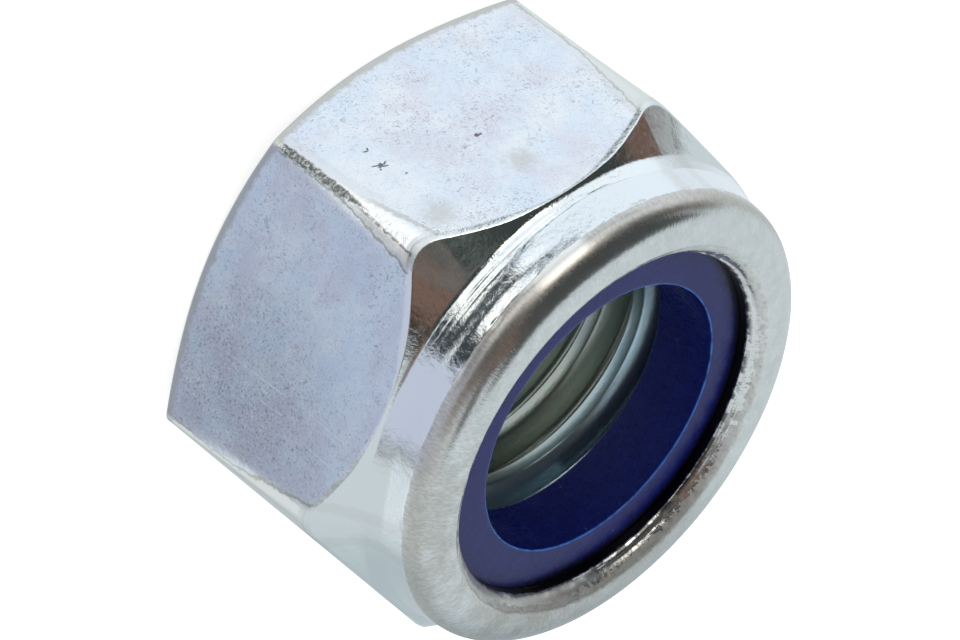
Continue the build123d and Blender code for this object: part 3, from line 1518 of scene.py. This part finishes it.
    def relief(self, zones: Zones) -> Socket:
        """Fine unevenness of the skin, which runs towards the bore on the rim.

        Args:
            zones: The zones of the body.

        Returns:
            The bumped normal.
        """
        bench = zones.bench
        rolled = bench.span(zones.height, zones.crease_z, zones.crease_z + 0.1)
        skin = bench.grain(zones.place, 4.6, 4.0, 0.65, twist=0.5)
        radial = bench.grain(zones.radial_place, 2.2, 2.0, 0.6)
        pitted = zones.shared(zones.rest(rolled), skin, self.skin_depth)
        combed = zones.shared(rolled, radial, self.radial_depth)
        return bench.bump(bench.math("ADD", pitted, combed), 1.0)


@dataclass(frozen=True)
class NavyNylon:
    """Dark blue polished nylon with a few specks of dust, painted shadow under the rim and a painted
    glow along the bore's edge.
    """

    body: Colour = (0.003, 0.006, 0.092)
    pale: Colour = (0.004, 0.009, 0.118)
    # painted glow of light through the thin cut edge of the bore
    edge_glow: Colour = (0.03, 0.14, 0.50)
    # painted shadow under the steel rim
    rim_shadow: Colour = (0.001, 0.001, 0.006)
    dust: Colour = (0.10, 0.12, 0.25)
    pale_patches: Mottle = Mottle(1.5, 4.0, 0.55, 0.4, 0.7)
    edge_glow_patches: Mottle = Mottle(2.4, 3.0, 0.55, 0.38, 0.52, 0.35, 1.0)
    roughness: Mottle = Mottle(4.0, 4.0, 0.55, 0.3, 0.7, 0.22, 0.34)
    shaded_side: float = radians(228)
    shine: float = 0.38
    dust_scale: float = 1.3
    skin_depth: float = 0.01

    def dress(self, piece: bpy.types.Object, sizes: NutSizes) -> None:
        """Gives the nylon to the ring.

        Args:
            piece: The ring's object.
            sizes: The sizes that it was built to.
        """
        finish = Finish("navy_nylon")
        bench, place, bore_r = finish.bench, finish.place, sizes.insert_bore_r
        x, y, height = bench.parts(place)
        radius = bench.vector("LENGTH", bench.joined(x, y, 0.0))
        coat = Coat(bench, self.body)
        coat.lay(bench.mottled(place, self.pale_patches), self.pale)
        # painted glow: bright blue in broken patches along the bore's cut top edge
        off_edge = bench.math("ADD", bench.off(radius, bore_r), bench.off(height, sizes.insert_top))
        torn = bench.mottled(place, self.edge_glow_patches)
        coat.lay(bench.times(bench.fading(off_edge, 0.04, 0.09), torn), self.edge_glow)
        # painted shadow: near black on the ring's outer top, under and beside the rim, reaching further
        # in on the shaded side
        facing = bench.facing(bench.math("ARCTAN2", y, x), self.shaded_side)
        spared = bench.span(facing, -0.15, 0.5, 0.5, 0.0, smooth=True)
        rim_shadow_band = bench.span(bench.less(radius, spared), bore_r + 0.80, bore_r + 1.35, smooth=True)
        coat.lay(rim_shadow_band, self.rim_shadow)
        specks = bench.add("ShaderNodeTexVoronoi")
        specks.inputs["Scale"].default_value = self.dust_scale
        bench.link(place, specks.inputs["Vector"])
        coat.lay(bench.fading(specks.outputs["Distance"], 0.03, 0.05), self.dust)
        finish.set("Base Color", coat.colour)
        finish.set("Roughness", bench.mottled(place, self.roughness))
        finish.set("Specular IOR Level", self.shine)
        finish.set("Normal", bench.bump(bench.grain(place, 2.5, 4.0), self.skin_depth))
        piece.data.materials.append(finish.material)


# ---------------------------------------------------------------- studio


def direction(azimuth: float, elevation: float) -> Vector:
    """Unit vector at an azimuth from +X towards +Y and an elevation, in degrees."""
    around, up = radians(azimuth), radians(elevation)
    return Vector((cos(around) * cos(up), sin(around) * cos(up), sin(up)))


@dataclass(frozen=True)
class Camera:
    """The camera that looks down at the collar's side of the nut, in millimetres and degrees."""

    aim: tuple[float, float, float] = (-1.699, -1.416, 3.476)
    azimuth: float = 34.486
    elevation: float = 32.349
    roll: float = 127.08
    distance: float = 147.96
    lens: float = 156.09

    def build(self) -> None:
        """Makes the camera and sets it as the scene's."""
        back = direction(self.azimuth, self.elevation)
        data = bpy.data.cameras.new("camera")
        data.lens = self.lens
        data.clip_start = MM
        made = bpy.data.objects.new("camera", data)
        bpy.context.scene.collection.objects.link(made)
        roll = Matrix.Rotation(radians(self.roll), 3, "Z")
        turn = (-back).to_track_quat("-Z", "Y").to_matrix() @ roll
        place = (Vector(self.aim) + back * self.distance) * MM
        made.matrix_world = Matrix.Translation(place) @ turn.to_4x4()
        bpy.context.scene.camera = made


@dataclass(frozen=True)
class Panel:
    """A soft-edged panel round the nut that only its metal sees, placed in degrees."""

    azimuth: float
    elevation: float
    wide: float
    high: float
    soft: float
    colour: Colour


@dataclass(frozen=True)
class Surroundings:
    """What stands round the nut: a white tent with dark and tinted panels in it."""

    tent: Colour = (0.62, 0.68, 0.70)
    panels: tuple[Panel, ...] = (
        Panel(0, -60, 180, 34, 14, (0.80, 0.86, 0.92)),
        Panel(-28, -22, 48, 16, 8, (0.86, 0.94, 1.02)),
        Panel(20, -28, 29, 5, 5, (1.18, 1.18, 1.16)),
        Panel(76, -8, 19, 20, 6, (0.56, 0.60, 0.72)),
        Panel(89, -38, 12, 12, 8, (0.45, 0.52, 0.65)),
        Panel(97, -6, 2, 14, 3, (0.34, 0.36, 0.38)),
        Panel(176, -10, 20, 12, 30, (0.46, 0.53, 0.56)),
        Panel(0, 88, 180, 3, 8, (0.07, 0.07, 0.07)),
        Panel(-13, 66, 72, 24, 10, (0.050, 0.052, 0.052)),
        Panel(-9, 40, 60, 24, 6, (0.040, 0.048, 0.046)),
        Panel(-68, 48, 21, 15, 6, (0.045, 0.050, 0.050)),
        Panel(-86, 18, 4, 7, 3, (0.22, 0.25, 0.24)),
        Panel(84, 62, 18, 4, 8, (0.12, 0.11, 0.11)),
        Panel(66, 27, 8, 8, 8, (0.24, 0.22, 0.21)),
        Panel(37, 58, 10, 18, 6, (0.18, 0.115, 0.09)),
        Panel(56, 30, 3, 8, 4, (0.17, 0.105, 0.08)),
        Panel(52, 44, 4, 6, 3, (0.05, 0.035, 0.025)),
        Panel(-75, 18, 6, 5, 5, (0.16, 0.10, 0.08)),
        Panel(12, 43, 9, 2, 3, (0.12, 0.14, 0.13)),
        Panel(-8, 12, 12, 13, 5, (2.6, 2.45, 2.25)),
        Panel(-14, 1, 58, 9, 4, (0.92, 0.99, 1.04)),
        Panel(-20, -9, 34, 1.5, 2, (0.10, 0.12, 0.12)),
        Panel(25, -1, 13, 9, 4, (1.15, 1.15, 1.12)),
        Panel(27, -18, 18, 6, 4, (0.07, 0.085, 0.09)),
        Panel(45, -8, 7, 13, 3, (0.05, 0.06, 0.065)),
    )

    def seen(self, bench: Bench, heading: Socket) -> Socket:
        """Colour of the surroundings towards a heading.

        Args:
            bench: Bench of the world.
            heading: Direction in which a ray leaves.

        Returns:
            The colour.
        """
        x, y, z = bench.parts(bench.vector("NORMALIZE", heading))
        elevation = bench.times(bench.math("ARCSINE", z), 180 / pi)
        level = bench.vector("NORMALIZE", bench.joined(x, y, 0.0))
        seen = Coat(bench, self.tent)
        for panel in self.panels:
            off_up = bench.off(elevation, panel.elevation)
            share = bench.fading(off_up, panel.high, panel.high + panel.soft, smooth=True)
            if panel.wide < 180:
                facing = bench.vector("DOT_PRODUCT", level, direction(panel.azimuth, 0))
                off_round = bench.times(bench.math("ARCCOSINE", facing), 180 / pi)
                across = bench.fading(off_round, panel.wide, panel.wide + panel.soft, smooth=True)
                share = bench.times(share, across)
            seen.lay(share, panel.colour)
        return seen.colour


@dataclass(frozen=True)
class Studio:
    """A white floor under a white sky, and the surroundings that the metal mirrors."""

    surroundings: Surroundings = Surroundings()
    floor_half: float = 1.5
    floor_lift: float = 0.6

    def floor_finish(self) -> bpy.types.Material:
        """Makes a white finish that shows a soft shadow and is clear from below.

        Returns:
            The floor's material.
        """
        material = bpy.data.materials.new("floor")
        material.use_nodes = True
        bench = Bench(material.node_tree)
        bench.tree.nodes.clear()
        lit = bench.add("ShaderNodeBsdfDiffuse")
        lift = bench.add("ShaderNodeEmission")
        lift.inputs["Strength"].default_value = self.floor_lift
        seen = bench.add("ShaderNodeAddShader")
        bench.link(lit.outputs[0], seen.inputs[0])
        bench.link(lift.outputs[0], seen.inputs[1])
        hidden = bench.add("ShaderNodeBsdfTransparent")
        surface = lit.outputs[0]
        for factor, shader in (
            (bench.add("ShaderNodeLightPath").outputs["Is Camera Ray"], seen.outputs[0]),
            (bench.add("ShaderNodeNewGeometry").outputs["Backfacing"], hidden.outputs[0]),
        ):
            mix = bench.add("ShaderNodeMixShader")
            bench.link(factor, mix.inputs[0])
            bench.link(surface, mix.inputs[1])
            bench.link(shader, mix.inputs[2])
            surface = mix.outputs[0]
        output = bench.add("ShaderNodeOutputMaterial")
        bench.link(surface, output.inputs["Surface"])
        return material

    def floor(self) -> None:
        """Makes the floor that the nut stands on. Metal mirrors the surroundings' panels instead."""
        bm = bmesh.new()
        bmesh.ops.create_grid(bm, x_segments=1, y_segments=1, size=self.floor_half)
        mesh = bpy.data.meshes.new("floor")
        bm.to_mesh(mesh)
        bm.free()
        made = bpy.data.objects.new("floor", mesh)
        bpy.context.scene.collection.objects.link(made)
        made.data.materials.append(self.floor_finish())
        made.visible_glossy = False

    def world(self) -> None:
        """Lights the scene evenly, and sets what the metal sees."""
        world = bpy.data.worlds.new("studio")
        world.use_nodes = True
        bench = Bench(world.node_tree)
        background = world.node_tree.nodes["Background"]
        around = self.surroundings.seen(bench, bench.coordinate("Generated"))
        glossy = bench.add("ShaderNodeLightPath").outputs["Is Glossy Ray"]
        bench.feed(bench.blend(glossy, WHITE, around), background.inputs["Color"])
        bpy.context.scene.world = world

    def build(self) -> None:
        """Builds the floor and the world."""
        self.floor()
        self.world()
        bpy.context.scene.view_settings.view_transform = "Standard"


def main() -> None:
    """Builds the nut, the camera and the studio."""
    logging.basicConfig(level=logging.INFO)
    sizes = NutSizes.from_frame()
    steel = SteelBody(sizes)
    body = steel.build()
    ZincPlate().dress(body, steel)
    ring = NylonRing(sizes).build()
    NavyNylon().dress(ring, sizes)
    for piece, node, slot in ((body, "nut_body", "zinc_steel"), (ring, "nylon_insert", "nylon")):
        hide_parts(node)
        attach(piece, "root")
        triangles = sum(len(polygon.vertices) - 2 for polygon in piece.data.polygons)
        LOG.info("%s: %d triangles", piece.name, triangles)
    Camera().build()
    Studio().build()


if __name__ == "__main__":
    main()
